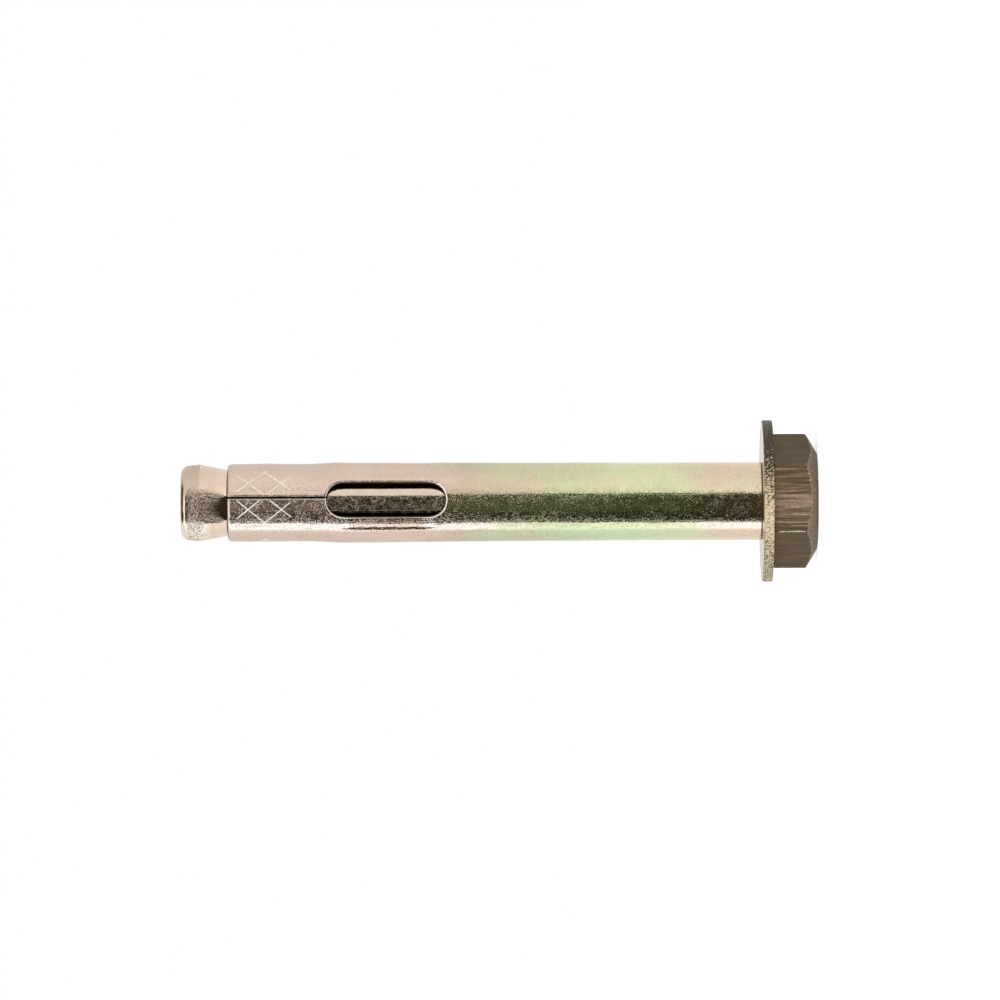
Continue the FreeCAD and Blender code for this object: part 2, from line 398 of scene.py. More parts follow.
def yellow_zinc_on_rolled_strip():
    """Zinc plate with a yellow passivate, on cold-rolled strip that was bent to a tube. The eye
    sees a smooth, near mirror-like metal whose thin film shifts from rose to straw to green along
    the tube, with rolling lines, a frost of fine specks and small handling marks. Real rolling
    lines are a few hundredths of a millimetre wide, too fine to show, so they are drawn 0.22 mm
    wide."""
    sizes = settings().sleeve
    finish, tree = new_finish("yellow_zinc_on_rolled_strip")
    parts = add(tree, "SeparateXYZ", [millimetres(tree)])
    low_side, height = parts.outputs[0], parts.outputs[2]
    depth = add(tree, "Attribute", attribute_name="depth").outputs["Fac"]
    grains = patterns(tree, {
        "clouds": (2.5, 4, 3, 0.55),
        "blush": (2, 3.1, 3, 0.55),
        "streaks": (12, 1.2, 3, 0.55),
        "lines": (22, 0.22, 3, 0.55),
        "specks": (1, 0.18, 2, 0.6),
        "patches": (1, 1.3, 4, 0.75),
        "handling": (1, 2.8, 2, 0.55),
        "dents": (1, 2.6, 2, 0.55),
        "peel": (1, 0.5, 2, 0.55),
        "pricks": (1, 0.24, 2, 0.6),
    })
    film = chain(tree, height, ("ADD", (grains["clouds"], 0.3, 0.7, -7, 7)))
    greening = between(tree, film, (12, 24), (38, 52))
    beside_window = between(tree, height, (54.5, 57.5), (67, 70))
    # Painted highlight: a near-white band on the -X side, along the strip light's highlight.
    thin = chain(
        tree, between(tree, low_side, (-4.2, -3.8), (-2.9, -2.6)),
        ("MULTIPLY", (greening, 0, 1, 0.55, 0)),
        ("MULTIPLY", (beside_window, 0, 1, 1, 0.15)),
    )
    # Painted reflection tint: a cooler green on the -X side of the green stretch, below the
    # highlight.
    painted_low_side_tint = chain(tree, greening, ("MULTIPLY", (low_side, -4.4, -3, 0.6, 0)))
    scuffs = chain(
        tree, hairlines(tree, 2.6, 0.006), ("MULTIPLY", (grains["handling"], 0.6, 0.66, 0, 0.5))
    )
    frost = chain(
        tree, (grains["specks"], 0.52, 0.63),
        ("MULTIPLY", (grains["patches"], 0.36, 0.64, 0.35)),
        ("MAXIMUM", (grains["lines"], 0.61, 0.69, 0, 0.5)),
        ("MULTIPLY", (height, 8, 76, 0.4, 1.2)),
        ("MAXIMUM", scuffs),
        ("MULTIPLY", (depth, 0.24, 0.3, 1, 0)),
    )
    # At the windows' ends their rounded rims are painted near white: a painted highlight.
    worn = between(tree, depth, (0.02, 0.07), (0.26, 0.36))
    painted_end_highlight_zone = chain(tree, (height, 67.4, 69.2), ("MAXIMUM", (height, 56.2, 58, 1, 0)))
    # Painted highlight: the raised ribs are tinted near white, rougher and less metallic.
    raised = add(tree, "MapRange", [depth, -0.15, -0.12, 1, 0])
    sheared = chain(tree, (depth, 0.24, 0.32), ("MULTIPLY", (worn, 0, 1, 1, 0.4)))
    # Painted shade: dark brown rings at the mouth's rim and, fainter, at the foot's rim.
    lip = chain(tree, (height, 85.6, 85.76), ("MAXIMUM", (height, 8.12, 8.3, 0.6, 0)))
    layers = [
        (greening, sizes.green),
        ((film, 50, 66), sizes.rose),
        ((grains["blush"], 0.5, 0.68, 0, 0.55), linear("#e0cbb4")),
        ((grains["blush"], 0.3, 0.46, 0.4, 0), linear("#c9cfa9")),
        ((grains["streaks"], 0.35, 0.7, 0, 0.25), linear("#c6b49a")),
        # Painted highlight along the strip light's band.
        (thin, linear("#fffaf4")),
        (painted_low_side_tint, linear("#bcd6b2")),
        # Painted highlight on the rims at the windows' ends.
        (chain(tree, worn, ("MULTIPLY", painted_end_highlight_zone)), linear("#fffaf2")),
        (raised, linear("#fff8ee")),
        (sheared, linear("#857661")),
        # Painted shade: the inside of the tube, 0.66 mm and more under the skin, is near black.
        ((depth, 0.66, 0.76), linear("#0e0b07")),
        (lip, linear("#2c2319")),
    ]
    bumps = [
        (grains["dents"], 0.02),
        (grains["peel"], 0.006),
        (grains["lines"], 0.006),
        (chain(tree, grains["pricks"], ("MULTIPLY", frost)), 0.03),
    ]
    metal = chain(tree, (raised, 0, 1, 1, 0.4), ("MULTIPLY", (frost, 0, 1, 1, 0.75)))
    rough = chain(
        tree, (grains["lines"], 0.3, 0.7, 0.04, 0.08),
        ("ADD", (frost, 0, 1, 0, 0.5)),
        ("ADD", (raised, 0, 1, 0, 0.5)),
        ("ADD", (depth, 0.25, 0.4, 0, 0.25)),
    )
    lay_finish(tree, sizes.straw, layers, bumps, metal, rough)
    return finish


def pitted_cold_formed_steel():
    """Cold-drawn wire with its cone upset on the end, then plated over. The eye sees a bright skin
    with dull scaly patches and scratches on the shank, and dense pits towards the struck end."""
    sizes = settings().stud
    finish, tree = new_finish("pitted_cold_formed_steel")
    parts = add(tree, "SeparateXYZ", [millimetres(tree)])
    low_side, height = parts.outputs[0], parts.outputs[2]
    grains = patterns(tree, {
        "pits": (1, 0.28, 4, 0.65),
        "scale": (1, 0.3, 5, 0.75),
        "drawn": (3, 0.5, 2, 0.55),
        "rubs": (1, 1.7, 2, 0.55),
        "stain": (1, 1.4, 3, 0.55),
        "blots": (1, 0.9, 4, 0.7),
        "lumps": (1, 0.9, 3, 0.6),
    })
    shank = add(tree, "MapRange", [height, 80, 84, 1, 0])
    below = chain(tree, (height, 88.8, 89.8, 0.1, 0.9), ("MAXIMUM", (low_side, -3, -2.5)))
    struck = chain(
        tree, between(tree, height, (86.1, 88.4), (91.4, 91.9)),
        ("MULTIPLY", (low_side, 0.4, 2.2, 1, 0.12)),
        ("MULTIPLY", below),
    )
    pits = chain(tree, (grains["pits"], 0.51, 0.57), ("MULTIPLY", struck))
    blasted = chain(
        tree, between(tree, height, (89, 90.8), (91.2, 91.9)),
        ("MULTIPLY", (low_side, -3.2, -2.2, 0.02, 0.3)),
    )
    dark_half = [
        ("MULTIPLY", (low_side, 0.6, 1.1, 1, 0.05)), ("MULTIPLY", (low_side, -1.5, -1.2, 0.1))
    ]
    from_line = chain(tree, low_side, ("ADD", 1.15), ("ABSOLUTE",))
    drawn = chain(
        tree, (from_line, 0.03, 0.09, 0.8, 0), ("MULTIPLY", (grains["drawn"], 0.4, 0.5))
    )
    scratches = chain(
        tree, hairlines(tree, 1.7, 0.014), ("MULTIPLY", (grains["rubs"], 0.44, 0.52, 0, 0.9)),
        *dark_half,
    )
    scale = chain(
        tree, (grains["scale"], 0.52, 0.68), *dark_half,
        ("MAXIMUM", drawn), ("MAXIMUM", scratches), ("MULTIPLY", shank),
    )
    # Painted highlight: near white on the -X side of the cone's end.
    painted_crown_highlight = chain(tree, (height, 88, 89.6), ("MULTIPLY", (low_side, -3, -2.4, 0.8, 0)))
    blots = chain(
        tree, (grains["blots"], 0.42, 0.58, 0, 0.85),
        ("MULTIPLY", shank), ("MULTIPLY", (low_side, 0.6, 1.2, 1, 0)),
    )
    layers = [
        ((grains["stain"], 0.35, 0.7, 0, 0.35), linear("#c5ab98")),
        ((height, 84, 88, 0, 0.45), linear("#c5ab98")),
        (painted_crown_highlight, linear("#fff3e2")),
        (blots, linear("#3c2e1e")),
        ((scale, 0, 1, 0, 0.9), linear("#b5a288")),
        ((pits, 0, 1, 0, 0.85), sizes.dark),
    ]
    bumps = [
        (grains["lumps"], 0.012),
        (chain(tree, grains["pits"], ("MULTIPLY", struck)), -0.16),
        (scale, 0.004),
        (chain(tree, scratches, ("MULTIPLY", shank)), 0.03),
    ]
    rough = chain(tree, (scale, 0, 1, 0.07, 0.55), ("ADD", blasted))
    lay_finish(tree, sizes.pale, layers, bumps, (scale, 0, 1, 1, 0.65), rough)
    return finish


def stamped_zinc_plated_steel():
    """Strip steel stamped to a ring and barrel-plated. The eye sees a plain satin face and a rim
    that is torn and grainy where the steel broke away from the die, its dark grains laid denser
    towards +X as painted shade."""
    sizes = settings().washer
    finish, tree = new_finish("stamped_zinc_plated_steel")
    place = millimetres(tree)
    parts = add(tree, "SeparateXYZ", [place])
    low_side = parts.outputs[0]
    rim = add(tree, "MapRange", [from_axis(tree, parts), 11.5, 11.72])
    slant = {"Vector": place, "Angle": math.radians(35)}
    slant = add(tree, "VectorRotate", slant, rotation_type="Y_AXIS")
    drawn = add(tree, "Mapping", {"Vector": slant, "Scale": (1, 1, 0.35)})
    tears = add(tree, "TexNoise", {
        "Vector": drawn, "Scale": 1 / 0.15, "Detail": 3, "Roughness": 0.7,
    })
    # Painted shade and highlight: more dark grains towards +X, fewest around -2 to -3 mm.
    painted_rim_shade = chain(
        tree, (low_side, -2, 9, -0.035, 0.185), ("ADD", (low_side, -8, -3, 0.07, 0))
    )
    tears = chain(tree, tears, ("SUBTRACT", painted_rim_shade))
    torn = {0: (tears, 0.42, 0.5), 6: linear("#33260c"), 7: sizes.torn}
    torn = add(tree, "Mix", torn, data_type="RGBA")
    dents = patterns(tree, {"dents": (1, 1.4, 3, 0.55)})["dents"]
    bumps = [(dents, 0.01), (chain(tree, tears, ("MULTIPLY", rim)), 0.2)]
    rough = chain(tree, (rim, 0, 1, 0.18, 0.4), ("ADD", (tears, 0.3, 0.7, -0.05, 0.1)))
    lay_finish(tree, sizes.face, [(rim, torn)], bumps, (rim, 0, 1, 1, 0.2), rough)
    return finish


def trimmed_bronze_passivate():
    """A cold-formed hexagon, trimmed by a die and left with a dull brown passivate. The eye sees a
    satin brown with lines that the die drew along the axis, a smoother chamfer painted paler,
    partly for its finish and partly as light from below, and bare metal in specks along the
    edges. The flats facing -Y and +Y have a painted sheen in their middle, and the +X side has
    painted olive shade. Real lines can be too fine to show, so the finest ones are drawn 0.2 mm
    wide."""
    sizes = settings().nut
    finish, tree = new_finish("trimmed_bronze_passivate")
    parts = add(tree, "SeparateXYZ", [millimetres(tree)])
    grains = patterns(tree, {
        "wide": (60, 1.3, 2, 0.55),
        "fine": (30, 0.2, 3, 0.6),
        "mottle": (1, 0.35, 4, 0.7),
        "worn": (1, 0.2, 3, 0.7),
    })
    mottle = grains["mottle"]
    cone = chain(
        tree, from_axis(tree, parts), ("SUBTRACT", sizes.end_face / MM / 2),
        ("MULTIPLY", math.tan(CHAMFER_ANGLE)),
    )
    past = chain(tree, parts.outputs[2], ("SUBTRACT", cone))
    brim = chain(tree, past, ("SUBTRACT", 0.12), ("ABSOLUTE",), ("MapRange", 0.04, 0.2, 1, 0))
    # Painted sheen: near x = 0 the lines are raised, so the middles of the flats facing -Y and +Y
    # are brighter, and flats further round keep 0.4 of the lines' contrast.
    off_middle = chain(tree, parts.outputs[0], ("ABSOLUTE",))
    facing = add(tree, "MapRange", [off_middle, 4.6, 5, 1, 0])
    lines = chain(
        tree, grains["wide"],
        ("MULTIPLY", 0.25),
        ("ADD", chain(tree, grains["fine"], ("MULTIPLY", 0.75))),
        ("SUBTRACT", 0.5),
        ("MULTIPLY", (facing, 0, 1, 0.4)),
        ("ADD", 0.5),
        ("ADD", (off_middle, 0.8, 4, 0.06, -0.03)),
    )
    # Painted shade: dark olive mottles laid on the +X side of the nut.
    painted_olive_shade = chain(tree, (parts.outputs[0], 4.6, 5), ("MULTIPLY", (mottle, 0.35, 0.6)))
    # The chamfer's paler browns stand partly for its turned finish and partly for painted light
    # from below.
    turned = {0: (mottle, 0.4, 0.7), 6: linear("#9d8975"), 7: linear("#7a6954")}
    edge = add(tree, "NewGeometry").outputs["Pointiness"]
    rubbed = chain(
        tree, brim, ("MAXIMUM", (edge, 0.51, 0.54)), ("MULTIPLY", (grains["worn"], 0.57, 0.63))
    )
    layers = [
        ((lines, 0.38, 0.6), sizes.bronze),
        ((lines, 0.52, 0.64, 0, 0.9), sizes.bright),
        ((mottle, 0.35, 0.65, 0, 0.5), sizes.shadow),
        ((painted_olive_shade, 0, 1, 0, 0.4), linear("#5b5a37")),
        ((past, 0.04, 0.2, 1, 0), add(tree, "Mix", turned, data_type="RGBA")),
        (rubbed, sizes.burr),
    ]
    lay_finish(
        tree, sizes.shadow, layers, [(lines, 0.03), (mottle, 0.02)], 0,
        (mottle, 0.3, 0.7, 0.42, 0.56), **{"Specular IOR Level": 0.1},
    )
    return finish


def bare_burr():
    """Steel curled over by the trimming die. The eye sees a bright ragged thread of metal."""
    finish, tree = new_finish("bare_burr")
    grains = patterns(tree, {"patches": (1, 0.2, 3, 0.55), "ragged": (1, 0.15, 2, 0.55)})
    layers = [((grains["patches"], 0.4, 0.6), linear("#9c8a73"))]
    lay_finish(tree, settings().nut.burr, layers, [(grains["ragged"], 0.01)], 0.1, 0.4)
    return finish


def sleeve_swell(height):
    """How far the sleeve's outline stands out from the plain tube at a height. It passes through
    a few stations behind the mouth, and eases from each to the next."""
    stations = [(0, -0.06), (5, -0.01), (11, -0.07), (18.1, 0.2), (43, 0), (90, 0)]
    back = MOUTH - height
    swell = np.zeros_like(back)
    for (start, first), (end, second) in zip(stations, stations[1:]):
        step = first + (second - first) * ease((back - start) / (end - start))
        swell = np.where((back >= start) & (back <= end), step, swell)
    return swell


def sleeve_skin(height):
    """The radius of the sleeve's outer face at a height: the plain tube and its swell, a slight
    unevenness from the rolls, the mouth's quarter round and the broken edge at the foot."""
    rounding = np.clip((height - (MOUTH - MOUTH_ROUND)) / MOUTH_ROUND, 0, 1)
    fall = MOUTH_ROUND * (1 - np.sqrt(1 - rounding**2))
    cut = np.clip(1 - (height - FOOT) / BROKEN_EDGE, 0, 1) * BROKEN_EDGE
    wobble = 0.012 * np.sin(height / 3.1) * np.sin(height / 7.7 + 1)
    swell = sleeve_swell(np.minimum(height, MOUTH))
    return settings().sleeve.radius / MM + swell + wobble - fall - cut


def mark_depth(piece, depth=None):
    """Stores in each of a piece's points how many millimetres it lies under the sleeve's outer
    face, or else one depth for all of them."""
    mesh = piece.data
    if depth is None:
        spots = np.empty(len(mesh.vertices) * 3)
        mesh.vertices.foreach_get("co", spots)
        spots = spots.reshape(-1, 3) / MM
        depth = sleeve_skin(spots[:, 2]) - np.hypot(spots[:, 0], spots[:, 1])
    depths = np.broadcast_to(depth, len(mesh.vertices))
    mesh.attributes.new("depth", "FLOAT", "POINT").data.foreach_set("value", depths)


def column_shares(count=81):
    """Where the columns lie across a finger, from 0 to 1. They divide the area under a line with
    two bells on it, so they are closer together where the skin is pressed in."""
    spread, crowding = 0.05, 3
    fine = np.linspace(0, 1, 2001)
    bells = sum(np.exp(-((fine - middle) / spread) ** 2) for middle in (0.265, 0.735))
    area = np.cumsum(1 + crowding * bells)
    return np.interp(np.linspace(area[0], area[-1], count), area, fine)


def sleeve_rows():
    """The heights of the sleeve's rows and what lies open in each. A window's ends follow
    z = z1 - d cos t and half width = w sin t, and its middle runs straight. Each row gives its
    height, the window's half width as a share of the full one, the two parts of the unit normal
    that points from the opening into the metal, and its zone: 0 below the windows, 1 along them
    and 2 between them and the mouth."""
    sizes = settings().sleeve
    depth, half_width = sizes.window_end / MM, 2.845
    first_row, gap_below, gap_above = 9.2, 0.8, 0.7
    top = MOUTH - sizes.window_place / MM
    bottom = top - sizes.window_length / MM
    turn = np.linspace(0, np.pi / 2, 11)
    side, along = np.sin(turn), np.cos(turn)
    size = np.hypot(side / half_width, along / depth)
    across, down = side / half_width / size, along / depth / size
    broken = FOOT + BROKEN_EDGE * np.array([0, 0.12, 0.4, 1.0])
    rounded_off = MOUTH - MOUTH_ROUND + MOUTH_ROUND * np.sin(np.linspace(0, np.pi / 2, 8)[1:])
    below = np.concatenate([broken, np.linspace(first_row, bottom - gap_below, 46)])
    straight = np.linspace(bottom + depth, top - depth, 40)[1:-1]
    above = np.linspace(top + gap_above, MOUTH - MOUTH_ROUND, 34)
    above = np.concatenate([above, rounded_off])
    low_end, high_end = bottom + depth - depth * along, top - depth + depth * along
    parts = [
        (below, 0, 1, 0, 0),
        (low_end, side, across, -down, 1),
        (straight, 1, 1, 0, 1),
        (high_end[::-1], side[::-1], across[::-1], down[::-1], 1),
        (above, 0, 1, 0, 2),
    ]
    return np.concatenate([np.broadcast_arrays(*part) for part in parts], axis=1)


def sleeve_slot(number, side):
    """One edge of a slot, the upper one where the side is 1 and the lower one where it is -1. Per
    row: its distance round the tube from the window's middle, the shift (round, up) from the wall
    to where the edge's rounding starts, the rounding, and whether the slot is open there."""
    sizes = settings().sleeve
    share, across, down, zone = sleeve_rows()[1:]
    window = sizes.radius / MM * np.arctan(math.tan(sizes.window_angle) * share)
    slit = (sizes.slit / 2 + side * sizes.slit_offset) / MM
    seam = sizes.seam / MM / 2 if number == 1 else 0.0
    lip = (sizes.upper_lip if side > 0 else sizes.lower_lip) / MM
    slit_shift = 0.08
    first, last = np.flatnonzero(zone == 1)[[0, -1]]
    place = np.where(zone == 1, window, np.where(zone == 2, slit, seam))
    place[first] = seam
    place[last] = slit
    edge = (sizes.side_edge + (sizes.end_edge - sizes.side_edge) * np.abs(down)) / MM
    rounding = np.where(zone == 1, edge, np.where(zone == 2, lip, SEAM_EDGE))
    shift_round = rounding * across
    shift_round[last] = slit_shift
    shift_round[first] = SEAM_EDGE if seam else 0.0
    opened = (zone > 0) | (seam > 0)
    shift_round, shift_up, rounding = np.where(opened, [shift_round, rounding * down, rounding], 0)
    return place, shift_round, shift_up, rounding, opened


def pressed_in(distance, place=1.57, width=0.52, fall=0.2):
    """How far the skin beside a window is pressed in, as a share: nothing past a step that lies
    at that place, a full step there, and a slow even fall from it on towards the window."""
    return ease((place - distance) / width + 0.5) + fall * np.clip(1 - distance / place, 0, 1)


def flared(distance):
    """How far the skin stands out beside a slit's upper edge, at a distance from the edge. It runs
    straight on there, so it leaves the round by (f - d)^2 / 2R."""
    radius = settings().sleeve.radius / MM
    return np.clip(FLARE - distance, 0, None) ** 2 / (2 * radius)


def edge_columns(slot, z, sign, origin, sunk):
    """The columns of an edge's rounding, a quarter circle that leaves the outer face one shift
    away from the wall and sinks into it by one rounding."""
    place, shift_round, shift_up, rounding = (part[:, None] for part in slot[:4])
    turn = np.linspace(0, np.pi / 2, 7)[1:][None, :]
    kept = 1 - np.sin(turn)
    along = place + shift_round * kept
    up = z + shift_up * kept
    depth = rounding * (1 - np.cos(turn))
    angle = origin + sign * along / (settings().sleeve.radius / MM)
    return polar(sleeve_skin(up) - sunk - depth, angle, up)


def sleeve_finger(number):
    """One third of the sleeve, between two slots: a closed loop of columns in every row. It goes
    along the outer face, round the edge and down the wall of the next slot, back along the inner
    face and up the other wall. Lids close its two ends."""
    sizes = settings().sleeve
    radius = sizes.radius / MM
    lift_reach, edge_zone, bevel_long = 2.5, 1.5, 0.7
    z = sleeve_rows()[0][:, None]
    left, right = sleeve_slot(number, 1), sleeve_slot((number + 1) % 3, -1)
    start = sizes.window_turn + number * THIRD
    end = start + THIRD
    share = column_shares()[None, :]

    left_angle = start + (left[0] + left[1])[:, None] / radius
    right_angle = end - (right[0] + right[1])[:, None] / radius
    angle = left_angle + (right_angle - left_angle) * share
    from_left, from_right = (angle - left_angle) * radius, (right_angle - angle) * radius
    lift = left[2][:, None] * np.clip(1 - from_left / lift_reach, 0, 1) ** 2
    lift = lift + right[2][:, None] * np.clip(1 - from_right / lift_reach, 0, 1) ** 2
    outer_height = z + lift

    crease_low, crease_high, crease_end, faint = 54.2, 70.5, 4.4, 0.2
    straight = ease((z - crease_low) / crease_end) * ease((crease_high - z) / crease_end)
    sway, unevenness = 0.09, 0.15
    waver = sway * soft_noise(len(z), 1, 0, 70 + number, 0)
    uneven = 1 + unevenness * soft_noise(len(z), 1, 0, 75 + number, 6)
    crease = faint * pressed_in(from_left) + pressed_in(from_right + waver)
    pressed = sizes.crease / MM * uneven * crease * straight
    buckle_low, buckle_high, buckle_end, buckle_depth = 64, 80, 5, 0.012
    waves_round, wave_long = 11, 1.9
    buckle = ease((z - buckle_low) / buckle_end) * ease((buckle_high - z) / buckle_end)
    ripple = buckle_depth * buckle * np.sin(waves_round * angle + 1.3) * np.sin(z / wave_long)
    inset = np.minimum(1, np.minimum(from_left, from_right) / edge_zone)
    flare_long, flare_end = 14.6, 1.5
    flare = ease((z - MOUTH + flare_long) / flare_end) * flared(from_left)
    skin = sleeve_skin(outer_height) - pressed + ripple * inset + flare
    outer = polar(skin, angle, outer_height)

    bevel = MOUTH_BEVEL * np.clip((z - (MOUTH - bevel_long)) / bevel_long, 0, 1)
    inner_radius = radius + sleeve_swell(np.minimum(z, MOUTH)) - sizes.wall / MM + bevel
    inner_left = start + left[0][:, None] / radius
    inner_right = end - right[0][:, None] / radius
    inner = polar(inner_radius, inner_left + (inner_right - inner_left) * share, z)
    right_edge = edge_columns(right, z, -1, end, pressed[:, -1:])
    left_edge = edge_columns(left, z, 1, start, (pressed - flare)[:, :1])
    points = np.concatenate([outer, right_edge, inner[:, ::-1], left_edge[:, ::-1]], axis=1)

    rows, columns = points.shape[:2]
    faces = cells(rows, columns, ring=True).reshape(rows - 1, columns, 4)
    count, steps = share.shape[1], right_edge.shape[1]
    keep = np.ones((rows - 1, columns), bool)
    keep[:, count - 1:count + steps] &= (right[4][:-1] & right[4][1:])[:, None]
    keep[:, 2 * count + steps - 1:] &= (left[4][:-1] & left[4][1:])[:, None]
    order = np.arange(columns)
    out, back = order[:count], order[count + steps:2 * count + steps][::-1]
    lids = [
        np.stack([out[:-1], out[1:], back[1:], back[:-1]], axis=-1),
        order[None, count - 1:count + steps + 1],
        np.append(order[2 * count + steps - 1:], 0)[None],
    ]
    grids = [(points, faces[keep])]
    for lid in lids:
        grids.append((points, lid + (rows - 1) * columns))
        grids.append((points, lid[:, ::-1]))
    return grids


def rolled_sleeve():
    """The sleeve's three fingers, joined below the windows except along the open seam."""
    grids = [grid for number in range(3) for grid in sleeve_finger(number)]
    piece = new_piece("rolled_sleeve", grids, sharp=38)
    mark_depth(piece)
    return piece


def lozenge_ribs():
    """The raised pattern behind the mouth: two families of helices, angle = a0 +- k (z - zm), that
    cross to a row of lozenges. Each rib is a low dome, h = H (1 - (2c / w)^2), carried along its
    helix, and it tapers to nothing at both ends. A rib stops short of every slit, and midway
    between two windows."""
    sizes = settings().sleeve
    radius = sizes.radius / MM
    slit = (sizes.slit / 2 + sizes.slit_offset + sizes.upper_lip) / MM
    middle, reach, wide, rise, sunk = 80.3, 4.2, 0.17, 0.035, 0.002
    below_slit, above_slit = 0.04, 0.62
    row_start, row_end, first_turn = (math.radians(place) for place in (-42, 50, 5.6))
    half_lozenge, fade, thinnest = 2.42, 1.6, 0.2
    slope = math.pi / sizes.lozenges / half_lozenge
    steps, shortest = 48, 8
    across = np.linspace(-1, 1, 7)
    dome = np.concatenate([1 - across**2, [-0.6, -0.6]])
    across = np.concatenate([across, [0.8, -0.8]])
    share = np.linspace(0, 1, steps)
    ends = np.sqrt(np.minimum(1, np.minimum(share, 1 - share) * 10))[:, None]
    along = np.linspace(-reach, reach, 121)

    def from_window(angle):
        return (angle - sizes.window_turn + THIRD / 2) % THIRD - THIRD / 2

    grids = []
    for number, sign in itertools.product(range(sizes.lozenges), (1, -1)):
        start = sizes.window_turn + first_turn + number * 2 * math.pi / sizes.lozenges
        turn = from_window(start + sign * slope * along)
        clear = (turn * radius > above_slit) | (turn * radius < below_slit)
        clear &= (turn > row_start) & (turn < row_end)
        edges = np.flatnonzero(np.diff(np.concatenate([[0], clear.astype(int), [0]])))
        for low, high in edges.reshape(-1, 2):
            if high - low < shortest:
                continue
            part = np.linspace(along[low], along[high - 1], steps)[:, None]
            size = ends * np.clip((reach - np.abs(part)) / fade, thinnest, 1)
            step = np.hypot(slope * radius, 1)
            side = across[None, :] * wide / 2 * ends
            height = middle + part - side * sign * slope * radius / step
            angle = start + sign * slope * part + side / step / radius
            past = from_window(angle) * radius - slit
            base = radius + sleeve_swell(height) + np.where(past > -0.2, flared(past), 0)
            points = polar(base + dome[None, :] * rise * size - sunk, angle, height)
            if sign < 0:
                points = points[::-1, ::-1]
            grids.append((points, cells(steps, len(across), ring=True)))
    piece = new_piece("lozenge_ribs", grids, sharp=60)
    mark_depth(piece, RIB_DEPTH)
    return piece


def threaded_stud():
    """A section turned round the axis. Over the thread its radius is r = R - D s(z/p - a/2pi),
    where s is the thread's share, cut back by the end chamfer. Above come the shank, the arc of
    the fairing, the cone, the land and the rounded end, with a little unevenness from the upset."""
    sizes = settings().stud
    thread, shank = sizes.thread_radius / MM, sizes.shank_radius / MM
    cone, pitch = sizes.cone_radius / MM, sizes.pitch / MM
    depth, long = sizes.thread_depth / MM, sizes.thread_length / MM
    top, columns, end_chamfer, run_out = STUD_HIGH.z / MM, 240, 0.9, 2.2
    angle = np.linspace(0, 2 * np.pi, columns, endpoint=False)[None, :]
    z = [np.linspace(0, end_chamfer, 10), np.linspace(1, long + 0.8, 200)]
    z = np.concatenate(z)[:, None]
    fade = ease((z - long + 1.5) / run_out)
    radius = (thread - depth * thread_share(z, angle, pitch)) * (1 - fade) + shank * fade
    threaded = polar(np.minimum(radius, thread - end_chamfer + z), angle, z)

    slope, fairing, start = math.radians(11.5), 26.0, 81.58
    end_round, land = 1.25, cone - 0.14
    land_top = top - end_round
    turn, curve = np.linspace(0, slope, 14), np.linspace(0, np.pi / 2, 14)[1:]
    fair_r = shank + fairing * (1 - np.cos(turn))
    fair_z = start + fairing * np.sin(turn)
    cone_top = fair_z[-1] + (cone - fair_r[-1]) / math.tan(slope)
    stretches = [
        (np.full(40, shank), np.linspace(long + 1.4, start - 0.5, 40)),
        (fair_r, fair_z),
        (np.linspace(fair_r[-1], cone, 26)[1:], np.linspace(fair_z[-1], cone_top, 26)[1:]),
        (np.linspace(cone, land, 12)[1:], np.linspace(cone_top, land_top, 12)[1:]),
        (land - end_round * (1 - np.cos(curve)), land_top + end_round * np.sin(curve)),
        (np.linspace(land - end_round, 0, 14)[1:], np.full(13, top)),
    ]
    section = np.concatenate([np.stack(stretch, -1) for stretch in stretches])
    r, z = section[:, :1], section[:, 1:]
    lumps = soft_noise(len(section), columns, 6, 11, 2)
    pits = soft_noise(len(section), columns, 1, 12)
    upset_low, struck_low, lump_height, pit_depth = 87, 85.5, 0.03, 0.022
    upset = ease((z - upset_low) / 4) * np.clip(r / 2, 0, 1)
    struck = ease((z - struck_low) / 3) * ease((land_top + 0.4 - z) / 0.5)
    r = r + lump_height * upset * (lumps - 0.6) - pit_depth * struck * (1 + pits)
    points = np.concatenate([np.zeros((1, columns, 3)), threaded, polar(r, angle, z)])
    faces = cells(len(points), columns, ring=True)
    return new_piece("threaded_stud", [(points, faces)], sharp=40)


